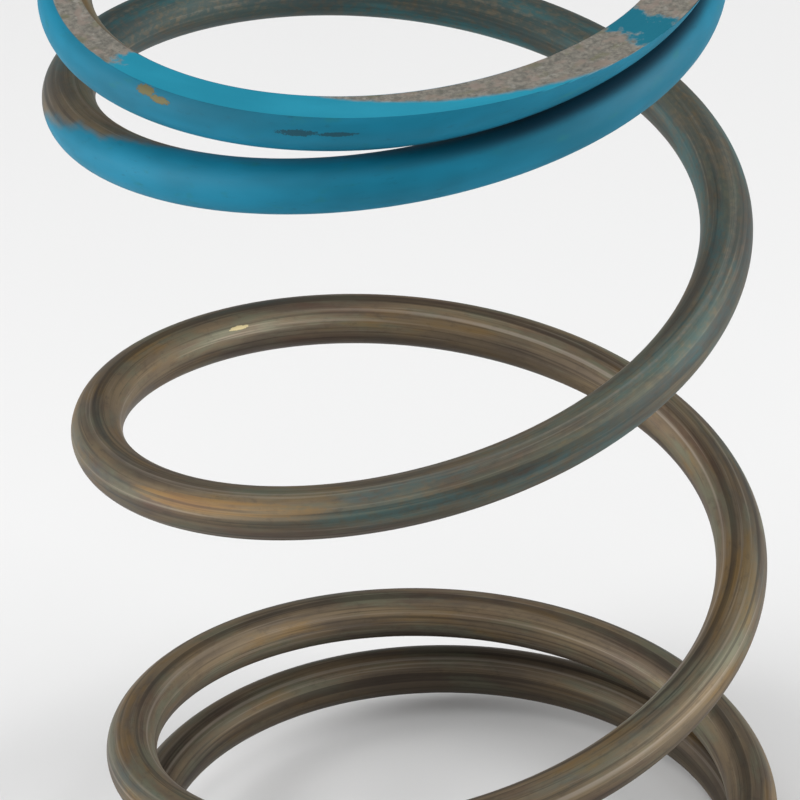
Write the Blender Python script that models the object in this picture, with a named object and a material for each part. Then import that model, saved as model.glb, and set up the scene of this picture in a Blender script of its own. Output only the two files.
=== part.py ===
"""Compression coil spring of round wire, with closed and ground ends.

Metres, +Z up. The spring stands on its bottom ground face in the plane z = 0, and its axis is the Z axis.
The wire is followed by its turn: 0 at the bottom tip, TOTAL_TURNS at the top tip. It winds anticlockwise
on its way up, seen from above, so the spring is right-handed.

The wire is one length of steel. It is divided into a rigid coil at each end and short arcs between them,
because a coil spring works by the twist of its wire: each arc turns a little about the wire's own line on
the one before.
"""

import math

import bmesh
import bpy
from mathutils import Vector

# Wire and coils, in metres
WIRE_DIAMETER = 0.0045
COIL_DIAMETER = 0.055              # across the active coils, middle of the wire to middle of the wire
TOP_COIL_DIAMETER = 0.0526         # the same across the top end coil, which is drawn in a little
ACTIVE_PITCH = 0.0342              # rise of one active coil

# Lengths of wire, in turns
BOTTOM_END_TURNS = 1.5
ACTIVE_TURNS = 3.0
TOP_END_TURNS = 1.007
ACTIVE_ARCS = 24

# Bottom end: closed on the coil above it, then rising to the active pitch
BOTTOM_CLOSED_TURNS = 1.46
BOTTOM_RISE_TURNS = 0.69
BOTTOM_COIL_LEAN = 0.0012          # how far the end coil's +X side hangs below its middle
BOTTOM_LEAN_TURNS = (1.3, 2.3)     # turns from the tip over which the lean dies out
BOTTOM_TIP_LIFT = 0.00135          # height of the tip's middle over the bottom ground face

# Top end: almost level, with its tip resting on the coil below it
TOP_END_PITCH = 0.0021             # rise of one turn of the level stretch
TOP_LEVEL_TURNS = 0.66
TOP_RISE_TURNS = 1.22
TOP_REST_TURNS = (0.5, 0.9)        # turns from the tip over which resting on the coil below dies out
TOP_REST_EASE = 0.00055            # how gently the wire lifts on to the coil below
TOP_FACE_TURN = 0.275              # turns back from the top tip, where the ground face's height is set
TOP_FACE_LIFT = 0.00153            # height of the ground face over the middle of the wire there
TOP_TIP_AZIMUTH = math.radians(-11.0)
TOP_DRAWN_IN_TURNS = (1.0, 2.0)    # turns from the tip over which the coil grows to its full diameter

# Clearances and mesh fineness
NEIGHBOUR_GAP = 0.0003             # between the solids of two neighbouring stretches or touching coils
WIRE_SIDES = 12
STEPS_PER_TURN = 48
SHARP_EDGE = math.radians(40)      # edges that turn more than this stay sharp
TANGENT_STEP = 0.0001              # turns either side of a point, to find the wire's direction there

TOTAL_TURNS = BOTTOM_END_TURNS + ACTIVE_TURNS + TOP_END_TURNS
WIRE_RADIUS = WIRE_DIAMETER / 2

# Finishes: linear RGB colour, roughness, metallic
BARE_STEEL = ((0.105, 0.088, 0.068), 0.45, 0.9)
GREY_STEEL = ((0.125, 0.113, 0.098), 0.5, 0.9)
TEAL_PAINT = ((0.014, 0.195, 0.312), 0.45, 0.0)
PAINTED_TURNS = 1.5                # turns from the top tip over which the wire is painted all round


def ease(x):
    """Smooth step from 0 at x = 0 to 1 at x = 1, level at both ends."""
    x = min(max(x, 0.0), 1.0)
    return x * x * (3 - 2 * x)


def dies_out(turns, stretch):
    """1 up to the start of a stretch of turns, falling smoothly to 0 at its end."""
    start, end = stretch
    return 1 - ease((turns - start) / (end - start))


def held_turns(turns, level, rise):
    """How many of these turns keep an end coil's own pitch: 1 - ease((t - level) / rise), summed to here."""
    x = max((turns - level) / rise, 0.0)
    if x < 1:
        return turns - rise * (x ** 3 - x ** 4 / 2)
    return turns - rise * (x - 0.5)


def bottom_held(turns):
    return held_turns(turns, BOTTOM_CLOSED_TURNS, BOTTOM_RISE_TURNS)


def top_held(turns):
    return held_turns(turns, TOP_LEVEL_TURNS, TOP_RISE_TURNS)


def free_height(turn):
    """Height of the wire's middle over the tip's, before the ends lean and rest on their neighbours."""
    closed_rise = WIRE_DIAMETER + NEIGHBOUR_GAP
    bottom_loss = (ACTIVE_PITCH - closed_rise) / bottom_held(1.0)
    top_loss = ACTIVE_PITCH - TOP_END_PITCH
    rise = ACTIVE_PITCH * turn
    rise -= bottom_loss * bottom_held(turn)
    rise -= top_loss * (top_held(TOTAL_TURNS) - top_held(TOTAL_TURNS - turn))
    return rise


def wire_height(turn):
    """Height of the wire's middle over the bottom ground face."""
    from_tip = TOTAL_TURNS - turn
    height = free_height(turn)
    if from_tip < TOP_REST_TURNS[1]:
        resting = free_height(turn - 1) + WIRE_DIAMETER + NEIGHBOUR_GAP
        spare = height - resting
        lifted = resting + (spare + math.hypot(spare, TOP_REST_EASE)) / 2
        height += (lifted - height) * dies_out(from_tip, TOP_REST_TURNS)
    height -= BOTTOM_COIL_LEAN * dies_out(turn, BOTTOM_LEAN_TURNS) * math.cos(azimuth(turn))
    return height + BOTTOM_TIP_LIFT + BOTTOM_COIL_LEAN * math.cos(azimuth(0))


def coil_radius(turn):
    """Distance of the wire's middle from the spring's axis."""
    drawn_in = dies_out(TOTAL_TURNS - turn, TOP_DRAWN_IN_TURNS)
    return (COIL_DIAMETER - (COIL_DIAMETER - TOP_COIL_DIAMETER) * drawn_in) / 2


def azimuth(turn):
    """Angle of the wire round the axis, from +X, anticlockwise seen from above."""
    return TOP_TIP_AZIMUTH + 2 * math.pi * (turn - TOTAL_TURNS)


def wire_centre(turn):
    angle = azimuth(turn)
    radius = coil_radius(turn)
    return Vector((radius * math.cos(angle), radius * math.sin(angle), wire_height(turn)))


def wire_frame(turn):
    """The wire's outward and upward directions, square to the wire."""
    along = (wire_centre(turn + TANGENT_STEP) - wire_centre(turn - TANGENT_STEP)).normalized()
    angle = azimuth(turn)
    outward = Vector((math.cos(angle), math.sin(angle), 0))
    upward = outward.cross(along).normalized()
    return along.cross(upward), upward


def top_face_height():
    """Height of the top ground face, which is the spring's free length."""
    return wire_height(TOTAL_TURNS - TOP_FACE_TURN) + TOP_FACE_LIFT


def wire_ring(mesh, turn, origin):
    """One ring of the wire's surface, square to the wire, in the object's own coordinates."""
    outward, upward = wire_frame(turn)
    middle = wire_centre(turn) - origin
    ring = []
    for side in range(WIRE_SIDES):
        angle = 2 * math.pi * side / WIRE_SIDES
        offset = (outward * math.cos(angle) + upward * math.sin(angle)) * WIRE_RADIUS
        ring.append(mesh.verts.new(middle + offset))
    return ring


def wire_stretch(start, end, origin):
    """Closed tube of wire between two turns, as a new bmesh."""
    mesh = bmesh.new()
    steps = max(2, math.ceil((end - start) * STEPS_PER_TURN))
    rings = [wire_ring(mesh, start + (end - start) * step / steps, origin) for step in range(steps + 1)]
    for here, there in zip(rings, rings[1:]):
        for side in range(WIRE_SIDES):
            following = (side + 1) % WIRE_SIDES
            mesh.faces.new((here[side], here[following], there[following], there[side]))
    mesh.faces.new(rings[0])
    mesh.faces.new(rings[-1])
    bmesh.ops.recalc_face_normals(mesh, faces=mesh.faces)
    return mesh


def grind(mesh, height, upward):
    """Cut the end coil flat at a height: what lies beyond the ground face goes, and the cut is closed."""
    cut = bmesh.ops.bisect_plane(
        mesh,
        geom=mesh.verts[:] + mesh.edges[:] + mesh.faces[:],
        plane_co=(0, 0, height),
        plane_no=(0, 0, upward),
        clear_outer=True,
    )
    rim = [piece for piece in cut["geom_cut"] if isinstance(piece, bmesh.types.BMEdge)]
    bmesh.ops.triangle_fill(mesh, edges=rim, use_beauty=True)
    bmesh.ops.recalc_face_normals(mesh, faces=mesh.faces)


def wire_finish(name, look):
    """New material from one of the finishes."""
    colour, roughness, metallic = look
    finish = bpy.data.materials.new(name)
    finish.use_nodes = True
    shader = finish.node_tree.nodes["Principled BSDF"]
    shader.inputs["Base Color"].default_value = (*colour, 1)
    shader.inputs["Roughness"].default_value = roughness
    shader.inputs["Metallic"].default_value = metallic
    return finish


def add_piece(name, mesh, origin, parent, finish):
    """Make the object: its origin is the middle of the wire where it joins the piece before it."""
    data = bpy.data.meshes.new(name)
    mesh.to_mesh(data)
    mesh.free()
    data.shade_smooth()
    data.set_sharp_from_angle(angle=SHARP_EDGE)
    data.materials.append(finish)
    piece = bpy.data.objects.new(name, data)
    bpy.context.scene.collection.objects.link(piece)
    if parent is None:
        piece.location = origin
    else:
        piece.parent = parent
        piece.location = origin - piece_origins[parent.name]
    piece_origins[name] = origin
    return piece


def trimmed(turn, sign):
    """A cut's turn, moved along the wire by half the gap between neighbours."""
    per_turn = math.hypot(2 * math.pi * coil_radius(turn), wire_height(turn + 0.5) - wire_height(turn - 0.5))
    return turn + sign * NEIGHBOUR_GAP / 2 / per_turn


def build_bottom_end_coil():
    origin = Vector((0, 0, 0))
    mesh = wire_stretch(0, trimmed(BOTTOM_END_TURNS, -1), origin)
    grind(mesh, 0, -1)
    finish = wire_finish("bottom_end_coil_steel", GREY_STEEL)
    return add_piece("bottom_end_coil", mesh, origin, None, finish)


def build_active_arc(number, parent):
    """One arc of the active coils; the first is number 1, next to the bottom end coil."""
    start = BOTTOM_END_TURNS + ACTIVE_TURNS * (number - 1) / ACTIVE_ARCS
    end = BOTTOM_END_TURNS + ACTIVE_TURNS * number / ACTIVE_ARCS
    origin = wire_centre(start)
    mesh = wire_stretch(trimmed(start, 1), trimmed(end, -1), origin)
    name = f"active_arc_{number:02d}"
    painted = end > TOTAL_TURNS - PAINTED_TURNS
    finish = wire_finish(name + "_finish", TEAL_PAINT if painted else BARE_STEEL)
    return add_piece(name, mesh, origin, parent, finish)


def build_top_end_coil(parent):
    start = TOTAL_TURNS - TOP_END_TURNS
    origin = wire_centre(start)
    mesh = wire_stretch(trimmed(start, 1), TOTAL_TURNS, origin)
    grind(mesh, top_face_height() - origin.z, 1)
    finish = wire_finish("top_end_coil_paint", TEAL_PAINT)
    return add_piece("top_end_coil", mesh, origin, parent, finish)


for old in list(bpy.data.objects):
    bpy.data.objects.remove(old, do_unlink=True)

piece_origins = {}
last_piece = build_bottom_end_coil()
for arc_number in range(1, ACTIVE_ARCS + 1):
    last_piece = build_active_arc(arc_number, last_piece)
build_top_end_coil(last_piece)
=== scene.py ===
"""Compression coil spring: bare drawn wire, closed and ground ends, one end sprayed teal as a colour code."""

import math

import bpy
import numpy as np
from mathutils import Matrix, Vector


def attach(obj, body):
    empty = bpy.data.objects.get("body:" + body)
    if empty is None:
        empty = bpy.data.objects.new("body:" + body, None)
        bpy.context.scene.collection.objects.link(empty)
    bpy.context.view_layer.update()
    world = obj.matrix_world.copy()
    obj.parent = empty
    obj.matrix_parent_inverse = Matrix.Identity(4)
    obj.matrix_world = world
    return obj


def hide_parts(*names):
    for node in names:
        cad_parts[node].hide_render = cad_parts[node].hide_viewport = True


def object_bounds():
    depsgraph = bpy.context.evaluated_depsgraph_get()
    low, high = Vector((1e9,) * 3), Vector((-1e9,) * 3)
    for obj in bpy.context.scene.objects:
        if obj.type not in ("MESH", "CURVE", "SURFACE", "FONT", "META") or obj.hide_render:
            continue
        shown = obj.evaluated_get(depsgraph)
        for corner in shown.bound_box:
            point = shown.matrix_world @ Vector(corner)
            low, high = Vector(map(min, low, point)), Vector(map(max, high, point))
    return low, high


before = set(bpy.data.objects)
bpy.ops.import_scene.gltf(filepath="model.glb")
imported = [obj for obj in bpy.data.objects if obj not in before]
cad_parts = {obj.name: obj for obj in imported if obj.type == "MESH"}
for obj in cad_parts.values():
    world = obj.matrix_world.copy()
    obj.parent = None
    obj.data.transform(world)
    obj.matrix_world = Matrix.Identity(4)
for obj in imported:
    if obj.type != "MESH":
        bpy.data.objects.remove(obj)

cad_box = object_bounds()

# The wire.
# One length of 4.5 mm round spring steel, cold drawn through dies and coiled right-handed on a mandrel.
# The last turn at each end is closed down against its neighbour. Turns are counted from the bottom tip.
WIRE_DIAMETER = 0.0045
COIL_DIAMETER = 0.055              # across the active coils, middle of the wire to middle of the wire
TOP_COIL_DIAMETER = 0.0526         # the same across the top end coil, which is drawn in a little
ACTIVE_PITCH = 0.0342              # rise of one active coil
TOP_END_PITCH = 0.0021             # rise of one turn of the level stretch at the top
CLOSED_RISE = 0.0048               # rise of one closed turn: a wire and the hair gap to its neighbour
BOTTOM_END_TURNS = 1.5
ACTIVE_TURNS = 3.0
TOP_END_TURNS = 1.007
ACTIVE_ARCS = 24
TOTAL_TURNS = BOTTOM_END_TURNS + ACTIVE_TURNS + TOP_END_TURNS
TOP_TIP_AZIMUTH = math.radians(-11)

# Each pair is turns from the tip that keep the end's own shape, then turns over which that dies out
BOTTOM_CLOSED = (1.46, 0.69)
BOTTOM_LEANING = (1.3, 1.0)
TOP_LEVEL = (0.66, 1.22)
TOP_RESTING = (0.5, 0.4)           # on the coil below
TOP_DRAWN_IN = (1.0, 1.0)
RESTING_EASE = 0.00055             # how gently the wire lifts on to the coil below
BOTTOM_COIL_LEAN = 0.0012          # how far the end coil's +X side hangs below its middle
BOTTOM_TIP_LIFT = 0.00135          # height of the tip's middle over the bottom ground face
TOP_FACE_TURN = 0.275              # turns back from the top tip, where the ground face's height is set
TOP_FACE_LIFT = 0.00153            # height of the ground face over the middle of the wire there
TANGENT_STEP = 0.0001              # turns either side of a point, to find the wire's direction there


def dies_out(turns, stretch):
    """1 up to the first number of the stretch, then 1 - (3x^2 - 2x^3) as x goes to 1 over the second."""
    held, fading = stretch
    x = np.clip((turns - held) / fading, 0, 1)
    return 1 - x * x * (3 - 2 * x)


def held_turns(turns, stretch):
    """Turns that keep an end coil's own pitch: the integral of dies_out over these turns."""
    held, fading = stretch
    x = np.maximum((turns - held) / fading, 0)
    return turns - fading * np.where(x < 1, x ** 3 - x ** 4 / 2, x - 0.5)


def azimuth(turn):
    """Angle round the axis from +X, anticlockwise seen from above: 2 pi times the turns from the top tip."""
    return TOP_TIP_AZIMUTH + 2 * math.pi * (turn - TOTAL_TURNS)


def free_height(turn):
    """Full pitch times the turns, less what the closed bottom turns and the level top turns lose."""
    bottom_loss = (ACTIVE_PITCH - CLOSED_RISE) / held_turns(np.float64(1), BOTTOM_CLOSED)
    top_turns = held_turns(np.float64(TOTAL_TURNS), TOP_LEVEL) - held_turns(TOTAL_TURNS - turn, TOP_LEVEL)
    rise = ACTIVE_PITCH * turn - bottom_loss * held_turns(turn, BOTTOM_CLOSED)
    return rise - (ACTIVE_PITCH - TOP_END_PITCH) * top_turns


def wire_height(turn):
    """Free height, eased up where the top tip rests on the coil below, less the bottom coil's small lean."""
    height = free_height(turn)
    resting = free_height(turn - 1) + CLOSED_RISE
    spare = height - resting
    lifted = resting + (spare + np.hypot(spare, RESTING_EASE)) / 2
    height = height + (lifted - height) * dies_out(TOTAL_TURNS - turn, TOP_RESTING)
    lean = BOTTOM_COIL_LEAN * dies_out(turn, BOTTOM_LEANING) * np.cos(azimuth(turn))
    return height - lean + BOTTOM_TIP_LIFT + BOTTOM_COIL_LEAN * np.cos(azimuth(0))


def wire_middle(turn):
    """Middle of the wire: (r cos a, r sin a, height), r being smaller where the top is drawn in."""
    drawn_in = dies_out(TOTAL_TURNS - turn, TOP_DRAWN_IN)
    radius = (COIL_DIAMETER - (COIL_DIAMETER - TOP_COIL_DIAMETER) * drawn_in) / 2
    angle = azimuth(turn)
    return np.stack([radius * np.cos(angle), radius * np.sin(angle), wire_height(turn)], -1)


def wire_directions(turn):
    """Unit vectors along, outward and upward at each turn: outward is level, upward is square to both."""
    along = wire_middle(turn + TANGENT_STEP) - wire_middle(turn - TANGENT_STEP)
    along /= np.linalg.norm(along, axis=-1, keepdims=True)
    angle = azimuth(turn)
    outward = np.stack([np.cos(angle), np.sin(angle), 0 * angle], -1)
    upward = np.cross(outward, along)
    upward /= np.linalg.norm(upward, axis=-1, keepdims=True)
    return along, np.cross(along, upward), upward


WIRE_RADIUS = WIRE_DIAMETER / 2 - 0.00001
TOP_FACE_HEIGHT = float(wire_height(np.float64(TOTAL_TURNS - TOP_FACE_TURN))) + TOP_FACE_LIFT
LENGTH_PER_TURN = math.hypot(math.pi * COIL_DIAMETER, ACTIVE_PITCH)
FACE_EDGE_ANGLES = (math.radians(14), math.pi / 2 - 0.2)    # lowest and highest place of a face's edge
FACE_COLUMNS = 28                  # columns across each ground face, and across each side between them
SIDE_COLUMNS = 28
STEPS_PER_TURN = 224
CORE_LENGTH = 0.0009               # a core inside each joint, so that no light shows through between two arcs
CORE_SHARE = (WIRE_RADIUS - 0.00006) / WIRE_RADIUS
TIP_LENGTH = 0.00012               # a tip's edge is broken over this length, down to this share of the wire
TIP_SHARE = 0.955
SHARP_EDGE = math.radians(24)


def round_of_wire(turn, floor_height, ceiling_height):
    """
    Offsets round the wire for each turn, from the angle t: (cos t outward + sin t upward) times the radius.
    Where the circle passes a ground face, t is moved so that a column sits exactly on the face's edge, and
    the points between the two edges keep their cosine and are laid on the face.
    """
    _, outward, upward = wire_directions(turn)
    middle = wire_middle(turn)[:, 2]
    rise = WIRE_RADIUS * upward[:, 2]
    to_ceiling, to_floor = (ceiling_height - middle) / rise, (middle - floor_height) / rise
    edge_up = np.clip(np.arcsin(np.clip(to_ceiling, -1, 1)), *FACE_EDGE_ANGLES)
    edge_down = np.clip(np.arcsin(np.clip(to_floor, -1, 1)), *FACE_EDGE_ANGLES)
    across = np.linspace(0, 1, FACE_COLUMNS + 1)[:-1]
    side = np.linspace(0, 1, SIDE_COLUMNS + 1)[:-1]
    top = edge_up[:, None] + (math.pi - 2 * edge_up)[:, None] * across
    inner = (math.pi - edge_up)[:, None] + (edge_up + edge_down)[:, None] * side
    bottom = (math.pi + edge_down)[:, None] + (math.pi - 2 * edge_down)[:, None] * across
    outer = (2 * math.pi - edge_down)[:, None] + (edge_up + edge_down)[:, None] * side
    angle = np.concatenate([top, inner, bottom, outer], 1)
    high = np.clip(np.sin(angle), -to_floor[:, None], to_ceiling[:, None])
    offset = np.cos(angle)[..., None] * outward[:, None] + high[..., None] * upward[:, None]
    return angle, high, offset * WIRE_RADIUS


def wire_mesh(name, start, end, tips=(False, False)):
    """
    Closed tube of wire between two turns. A tip is a sheared, lightly rounded end; any other end carries a
    short core that reaches into the next arc. The attribute wire_place is the place on the straightened wire:
    metres along it, then outward and upward from its middle. wire_turn counts turns. ground is 1 on a ground
    face.
    """
    count = round((end - start) * STEPS_PER_TURN) + 1
    turn = np.linspace(start, end, count)
    angle, high, offset = round_of_wire(turn, 0.0, TOP_FACE_HEIGHT)
    middle = wire_middle(turn)
    along, _, _ = wire_directions(turn)

    def past_end(row, way, is_tip):
        """Rings past an end, from the wire outwards: a tip's broken edge, or the foot and face of a core."""
        if is_tip:
            edge = middle[row] + offset[row] * TIP_SHARE + along[row] * way * TIP_LENGTH
            edge[:, 2] = np.clip(edge[:, 2], 0, TOP_FACE_HEIGHT)
            return edge[None]
        foot = middle[row] + offset[row] * CORE_SHARE
        return np.stack([foot, foot + along[row] * way * CORE_LENGTH])

    before, after = past_end(0, -1, tips[0])[::-1], past_end(-1, 1, tips[1])
    points = np.concatenate([before, middle[:, None] + offset, after])
    nearest = np.clip(np.arange(-len(before), count + len(after)), 0, count - 1)
    turns = np.broadcast_to(turn[nearest][:, None], points.shape[:2])
    angle, high = angle[nearest], high[nearest]
    place = np.stack([turns * LENGTH_PER_TURN, np.cos(angle) * WIRE_RADIUS, high * WIRE_RADIUS], -1)
    ground = (np.abs(high - np.sin(angle)) > 1e-6).astype(float)

    rows, columns = points.shape[:2]
    index = np.arange(rows * columns).reshape(rows, columns)
    beside = np.roll(index, -1, 1)
    quads = np.stack([index[:-1], beside[:-1], beside[1:], index[1:]], -1).reshape(-1, 4)
    first, last = np.full(columns, rows * columns), np.full(columns, rows * columns + 1)
    start_cap = np.stack([first, beside[0], index[0]], -1)
    end_cap = np.stack([last, index[-1], beside[-1]], -1)
    centres = np.stack([points[0].mean(0), points[-1].mean(0)])
    mesh = bpy.data.meshes.new(name)
    mesh.from_pydata(np.concatenate([points.reshape(-1, 3), centres]).tolist(), [],
                     [*quads.tolist(), *start_cap.tolist(), *end_cap.tolist()])
    for label, kind, key, values in (
        ("wire_place", "FLOAT_VECTOR", "vector", np.concatenate([place.reshape(-1, 3), place[[0, -1], 0]])),
        ("wire_turn", "FLOAT", "value", np.concatenate([turns.ravel(), [start, end]])),
        ("ground", "FLOAT", "value", np.concatenate([ground.ravel(), [0, 0]])),
    ):
        layer = mesh.attributes.new(label, kind, "POINT")
        layer.data.foreach_set(key, values.astype(np.float32).ravel())
    mesh.shade_smooth()
    mesh.set_sharp_from_angle(angle=SHARP_EDGE)
    piece = bpy.data.objects.new(name, mesh)
    bpy.context.scene.collection.objects.link(piece)
    return piece


# The finish of the wire.
# Bare drawn spring steel under a thin brown-grey oxide and old oil, with fine die lines along it. The top end
# was sprayed teal from outside and above: full on the top turns, a drift of overspray on the coil below. The
# end faces were ground flat, partly through the paint.
wire_finish = bpy.data.materials.new("drawn_spring_steel_and_teal_spray_paint")
wire_finish.use_nodes = True
tree = wire_finish.node_tree


def srgb(code):
    """sRGB hex colour turned to linear RGBA."""
    values = [int(code[i:i + 2], 16) / 255 for i in (1, 3, 5)]
    return (*[v / 12.92 if v <= 0.04045 else ((v + 0.055) / 1.055) ** 2.4 for v in values], 1)


def node(kind, sockets, output=0, **settings):
    """
    Add a shader node and return one output. The settings are its own properties. The sockets say what goes
    into each input, in order or by key: another node's output, a number, a vector or a hex colour.
    """
    made = tree.nodes.new("ShaderNode" + kind)
    for key, value in settings.items():
        setattr(made, key, value)
    for key, value in sockets.items() if isinstance(sockets, dict) else enumerate(sockets):
        if isinstance(value, bpy.types.NodeSocket):
            tree.links.new(value, made.inputs[key])
        else:
            made.inputs[key].default_value = srgb(value) if isinstance(value, str) else value
    return made.outputs[output]


place = node("Attribute", [], "Vector", attribute_name="wire_place")
turn_here = node("Attribute", [], "Fac", attribute_name="wire_turn")
on_face = node("Attribute", [], "Fac", attribute_name="ground")
outward_share = node("Math", [node("SeparateXYZ", [place], "Y"), WIRE_RADIUS], operation="DIVIDE")
upward_share = node("Math", [node("SeparateXYZ", [place], "Z"), WIRE_RADIUS], operation="DIVIDE")


def patches(per_metre, along=1, detail=3, roughness=0.55, shift=0.0):
    """Cloudy noise on the straightened wire: 1000 per metre are 1 mm wide each, and 1/along times as long."""
    start = (shift, shift * 0.7, shift * 0.3)
    moved = node("Mapping", {"Vector": place, "Location": start, "Scale": (along, 1, 1)})
    return node("TexNoise", {"Vector": moved, "Scale": per_metre, "Detail": detail, "Roughness": roughness})


def share(*conditions):
    """
    Product of conditions, each from 0 to 1. One is an output, a number, or a smooth ramp: the output that it
    follows, where it starts and ends and, if they aren't 0 and 1, its two values there.
    """
    product = None
    for condition in conditions:
        if isinstance(condition, tuple):
            followed, start, end, *values = condition
            ramp = [followed, start, end, *(values or (0, 1))]
            condition = node("MapRange", ramp, interpolation_type="SMOOTHSTEP")
        product = condition if product is None else node("Math", [product, condition], operation="MULTIPLY")
    return product


def unless(*conditions):
    """1 less the share of the conditions."""
    return node("Math", [1.0, share(*conditions)], operation="SUBTRACT")


def largest(first, *others):
    """The largest of several conditions."""
    most = share(first)
    for condition in others:
        most = node("Math", [most, share(condition)], operation="MAXIMUM")
    return most


def weighed(first, *others):
    """Sum of outputs, each alone or paired with its weight."""
    total = share(*first) if isinstance(first, tuple) else first
    for term in others:
        total = node("Math", [total, share(*term) if isinstance(term, tuple) else term], operation="ADD")
    return total


def tinted(colour, tint, *conditions):
    """Colour moved towards a tint by the share of the conditions."""
    return node("Mix", {0: share(*conditions), 6: colour, 7: tint}, 2, data_type="RGBA")


# Torn edges of marks, 0.2 mm; patches of oxide, 1 to 3 mm wide and 2 to 18 mm long; die lines, 0.4 and 0.9 mm
# wide, and many turns long
nick = patches(5200, 0.8, 4, 0.75, 21.7)
fine_patch = patches(900, 0.45, 4, 0.6, 8.8)
long_patch = patches(420, 0.13, 4, 0.6)
die_line = patches(2600, 0.012, 3, 0.7, 1.3)
deep_line = patches(1150, 0.006, 2, 0.5, 6.6)


def mark(turn, turn_reach, upward, upward_reach, raggedness=0.7, side=1):
    """
    1 inside an oval at a turn and a share of the height, on the wire's outer side, or its inner with side -1:
    the distances from its middle, each over its reach, are squared and added, and nicks tear the edge.
    """
    torn = node("Math", [nick, raggedness], operation="MULTIPLY")
    for here, middle, reach in ((turn_here, turn, turn_reach), (upward_share, upward, upward_reach)):
        off = node("Math", [node("Math", [here, middle], operation="SUBTRACT"), reach], operation="DIVIDE")
        torn = node("Math", [off, off, torn], operation="MULTIPLY_ADD")
    return share((torn, 1.0 + raggedness / 2, 0.7 + raggedness / 2), (outward_share, 0, 0.1 * side))


# Bare wire: olive, golden, reddish and dark oxide, die lines, one golden streak and one bright scratch
bare = tinted("#574D42", "#74654F", (long_patch, 0.35, 0.66))
bare = tinted(bare, "#646352", (patches(520, 0.22, 4, 0.62, 3.1), 0.46, 0.66, 0, 0.9))
bare = tinted(bare, "#745D3A", (patches(360, 0.20, 4, 0.62, 7.7), 0.52, 0.70, 0, 0.85))
bare = tinted(bare, "#5A443A", (patches(300, 0.24, 4, 0.62, 11.9), 0.54, 0.74, 0, 0.7))
bare = tinted(bare, "#443C35", (patches(1500, 0.5, 4, 0.7, 15.1), 0.50, 0.75, 0, 0.4))
# Pale streaks along the die lines: partly burnished steel, partly painted highlight
bare = tinted(bare, "#968B7C", (die_line, 0.54, 0.70, 0, 0.40))
bare = tinted(bare, "#332C26", (die_line, 0.47, 0.33, 0, 0.50))
bare = tinted(bare, "#2E2823", (deep_line, 0.42, 0.34, 0, 0.55))
bare = tinted(bare, "#A0968A", (deep_line, 0.62, 0.72, 0, 0.45))
bare = tinted(bare, "#80633A", mark(3.19, 0.06, 0.58, 0.26), (die_line, 0.38, 0.60, 0.15, 0.8))
bare = tinted(bare, "#B5A67C", mark(2.889, 0.007, 0.60, 0.07, 2.6, -1), 0.75)
# Painted shade: the underside of the wire is darkened. The closed bottom turns are made darker too
bare = tinted(bare, "#2C2723", (upward_share, 0.20, -0.55, 0, 0.45))
bare = tinted(bare, "#241F1B", (turn_here, 1.15, 0.95, 0, 0.38))

# Overspray: a drift of teal specks and smears that dies out a little over a turn below the paint's edge
smear = patches(330, 0.16, 4, 0.6, 5.3)
specks = patches(2400, 0.6, 2, shift=2.2)
drift = weighed(share((turn_here, 2.95, 3.95)), (outward_share, 0.16), (upward_share, 0.12), (smear, 1.1))
overspray = share((drift, 0.62, 1.30), (specks, 0.25, 0.62, 0.45, 1.0), (turn_here, 4.08, 3.98, 0.15, 1.0))
overspray_tone = tinted("#2C4345", "#235A60", (smear, 0.45, 0.60))
bare = tinted(bare, overspray_tone, overspray, (turn_here, 3.50, 3.75, 0.56, 0.84))

# Teal spray paint: dry and nearly matt, thin, a little uneven in tone, with two dark scuffs
tone = patches(170, 0.35, shift=9.4)
scuffs = largest(mark(5.244, 0.010, 0.14, 0.13, 3.2), mark(5.262, 0.010, 0.10, 0.09, 3.2))
paint = tinted("#035A70", "#08708C", (tone, 0.32, 0.70))
paint = tinted(paint, "#12646A", (patches(900, 0.4, shift=4.4), 0.58, 0.76, 0, 0.5))
paint = tinted(paint, "#0B4A5C", (patches(2200, 0.3, 3, 0.65, 13.3), 0.60, 0.75, 0, 0.35))
paint = tinted(paint, "#16343C", scuffs, 0.75)
# Where the end turn lies on the one below it the paint is darkened down in the joint: painted shade, and
# partly paint that the spray hardly reached
shaded_top_of_lower = share((upward_share, 0.58, 0.90), (turn_here, 4.24, 4.36), (turn_here, 4.56, 4.46))
shaded_foot_of_upper = share((upward_share, -0.55, -0.90), (turn_here, 5.24, 5.36))
paint = tinted(paint, "#021E2E", largest(shaded_top_of_lower, shaded_foot_of_upper), 0.9)

# Where the paint is: it starts with a ragged edge, further round on the outside, misses a stretch of the top
# turn's inner rim, and is chipped down to dull oxide in a few places
ragged = weighed(turn_here, (patches(650, 0.8, 4, 0.65, 1.9), 0.030))
uneven = patches(480, 0.5, 4, shift=6.1)
reach = weighed(turn_here, (outward_share, 0.06), (upward_share, -0.03), (uneven, 0.08))
missed_rim = share((outward_share, -0.25, -0.45), (ragged, 5.165, 5.150), (turn_here, 4.80, 4.90))
covered = share((reach, 4.138, 4.182), unless(missed_rim))
torn_chip = largest(mark(5.165, 0.006, 0.60, 0.16, 3.4), mark(5.174, 0.006, 0.45, 0.13, 3.4))
chips = largest((fine_patch, 0.765, 0.775), torn_chip)
painted = share(covered, unless(chips))
bare = tinted(bare, "#5A553B", chips, covered)

# Ground face: bright granular steel, blotched pinkish, olive and pale
grain = patches(2000, 1, 4, 0.65, 0.4)
steel = tinted("#6E6D66", "#989389", (grain, 0.30, 0.72))
steel = tinted(steel, "#988A80", (patches(900, 0.7, shift=12.5), 0.50, 0.66, 0, 0.7))
steel = tinted(steel, "#77775F", (patches(700, 0.7, shift=16.5), 0.54, 0.70, 0, 0.6))
steel = tinted(steel, "#A8A69E", (patches(1300, 0.8, shift=18.5), 0.58, 0.72, 0, 0.6))
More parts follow.
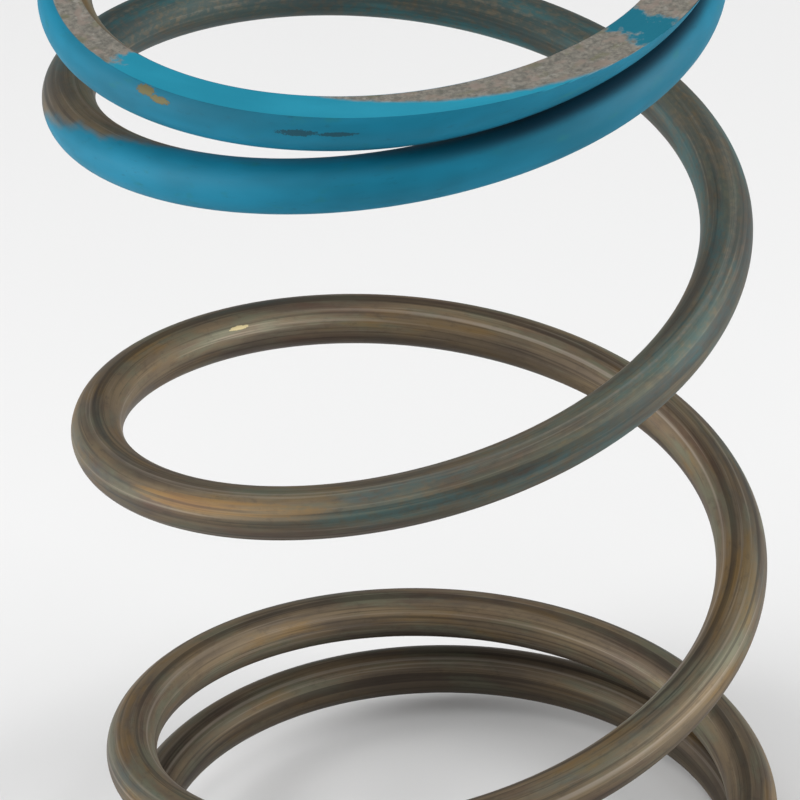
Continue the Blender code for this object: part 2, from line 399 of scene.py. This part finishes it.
# Paint is left on the middle of the face. From the middle of the front a bare strip widens from the inner
# edge until it takes the whole face, but for one spot near the tip. The start of the face is bare within its
# rim.
past_strip_start = node("Math", [ragged, 5.322], operation="SUBTRACT")
worn_through = share((weighed((past_strip_start, 13.0), (outward_share, -1)), -0.15, 0.15))
spot = share((ragged, 5.429, 5.435), (ragged, 5.459, 5.453))
painted_rim = share((weighed(outward_share, (fine_patch, 0.5)), 0.78, 0.86))
bare_start = share((ragged, 5.156, 5.148), unless(painted_rim))
left_on_face = share(largest(unless(largest(bare_start, worn_through)), spot), (turn_here, 3.9, 4.1))
# The paint left on the face is a lighter copy of the teal: painted light, for the face turned up to the lamp
# above
lit_face_paint = tinted("#177F98", "#218CA6", (tone, 0.30, 0.70))
lit_face_paint = tinted(lit_face_paint, "#0F5F72", spot, 0.8)
face = tinted(steel, lit_face_paint, left_on_face)

# Oxide and dry paint hide most of the metal and give a weak, broad gloss. Die lines, the ground face's grain
# and the paint's thickness are in the relief.
coated = weighed(share(painted, unless(on_face)), share(left_on_face, on_face))
shader = tree.nodes["Principled BSDF"]
shader.inputs["Specular IOR Level"].default_value = 0.2
relief = weighed((die_line, 0.5), (grain, on_face), (coated, 0.8))
for socket, source in (
    ("Base Color", tinted(tinted(bare, paint, painted), face, on_face)),
    ("Metallic", share(unless(coated), (overspray, 0, 1, 0.50, 0.20))),
    ("Roughness", weighed(share((long_patch, 0.3, 0.7, 0.50, 0.62)), (coated, 0.05), (on_face, 0.12))),
    ("Normal", node("Bump", {"Height": relief, "Strength": 0.35, "Distance": 0.00006}, "Normal")),
):
    tree.links.new(source, shader.inputs[socket])

# The bottom end coil.
# The dead turns at the bottom, closed on each other, with the tip ground thin so that the spring stands
# square. Bare steel all over.
bottom_end = wire_mesh("bottom_end_wire", 0, BOTTOM_END_TURNS, (True, False))
bottom_end.data.materials.append(wire_finish)
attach(bottom_end, "bottom_end_coil")
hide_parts("bottom_end_coil")

# The active coils.
# The same wire between the end coils, free to twist: three turns in arcs of an eighth of a turn, which come
# down and lie flatter as the spring is pressed.
cuts = np.linspace(BOTTOM_END_TURNS, BOTTOM_END_TURNS + ACTIVE_TURNS, ACTIVE_ARCS + 1).tolist()
for number in range(1, ACTIVE_ARCS + 1):
    arc = wire_mesh(f"active_wire_{number:02d}", cuts[number - 1], cuts[number])
    arc.data.materials.append(wire_finish)
    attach(arc, f"active_arc_{number:02d}")
    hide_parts(f"active_arc_{number:02d}")

# The top end coil.
# The dead turn at the top, its tip resting on the coil below, ground flat over most of a turn and painted.
top_end = wire_mesh("top_end_wire", cuts[-1], TOTAL_TURNS, (False, True))
top_end.data.materials.append(wire_finish)
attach(top_end, "top_end_coil")
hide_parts("top_end_coil")

# The floor.
# A plain sheet of pale matt paper, just under the spring's bottom face.
FLOOR_HALF = 3.0
FLOOR_GAP = 0.0002
floor_mesh = bpy.data.meshes.new("white_floor")
corners = np.array([(-1, -1, 0), (1, -1, 0), (1, 1, 0), (-1, 1, 0)]) * FLOOR_HALF
floor_mesh.from_pydata(corners.tolist(), [], [(0, 1, 2, 3)])
floor = bpy.data.objects.new("white_floor", floor_mesh)
floor.location = (0, 0, cad_box[0][2] - FLOOR_GAP)
bpy.context.scene.collection.objects.link(floor)
floor_finish = bpy.data.materials.new("matt_white_paper")
floor_finish.use_nodes = True
paper = floor_finish.node_tree.nodes["Principled BSDF"]
paper.inputs["Base Color"].default_value = srgb("#E4E4E4")
paper.inputs["Roughness"].default_value = 0.9
floor_mesh.materials.append(floor_finish)

# The light.
# Three large soft lamps, one above the spring and one at each side, all aimed at its middle, in a dim white
# room. Places and sizes are in metres, powers in watts. The view shows sRGB colours as they are.
LAMP_TARGET = Vector((0, 0, 0.05))
for name, spot_of_lamp, size, power in (
    ("lamp_above", (-0.05, -0.05, 0.75), 0.6, 1.7),
    ("lamp_left", (-0.65, -0.12, 0.26), 0.5, 5.6),
    ("lamp_right", (0.65, -0.12, 0.26), 0.5, 5.7),
):
    light = bpy.data.lights.new(name, "AREA")
    light.energy, light.size = power, size
    lamp = bpy.data.objects.new(name, light)
    lamp.location = spot_of_lamp
    lamp.rotation_euler = (LAMP_TARGET - Vector(spot_of_lamp)).to_track_quat("-Z", "Y").to_euler()
    bpy.context.scene.collection.objects.link(lamp)
world = bpy.data.worlds.new("pale_studio")
bpy.context.scene.world = world
world.use_nodes = True
room = world.node_tree.nodes["Background"]
room.inputs["Color"].default_value = (1, 1, 1, 1)
room.inputs["Strength"].default_value = 0.28
bpy.context.scene.view_settings.view_transform = "Standard"

# The camera.
# A long lens, looking down on the front at 32 degrees and rolled by 4.5, close enough to crop both ends. Its
# lengths are in coil radii.
COIL_RADIUS = COIL_DIAMETER / 2
PITCH, ROLL = 0.5652065, -0.0780868
DISTANCE = 19.91176 * COIL_RADIUS
VIEW_HEIGHT = 2.507031 * COIL_RADIUS       # what the view takes in at that distance
TARGET_SIDEWAYS = -0.0457453 * COIL_RADIUS
TARGET_LIFT = 0.018701 * COIL_RADIUS       # over the middle of the wire at this turn
TARGET_TURN = 3.037
SENSOR_WIDTH = 36
target = Vector((TARGET_SIDEWAYS, 0, float(wire_height(np.float64(TARGET_TURN))) + TARGET_LIFT))
forward = Vector((0, math.cos(PITCH), -math.sin(PITCH)))
right = Vector((1, 0, 0))
above = right.cross(forward)
turned_right = right * math.cos(ROLL) + above * math.sin(ROLL)
turned_above = above * math.cos(ROLL) - right * math.sin(ROLL)
camera_data = bpy.data.cameras.new("camera")
camera_data.sensor_width = SENSOR_WIDTH
camera_data.lens = SENSOR_WIDTH * DISTANCE / VIEW_HEIGHT
camera = bpy.data.objects.new("camera", camera_data)
turned = Matrix((turned_right, turned_above, -forward)).transposed().to_4x4()
camera.matrix_world = Matrix.Translation(target - forward * DISTANCE) @ turned
bpy.context.scene.collection.objects.link(camera)
bpy.context.scene.camera = camera
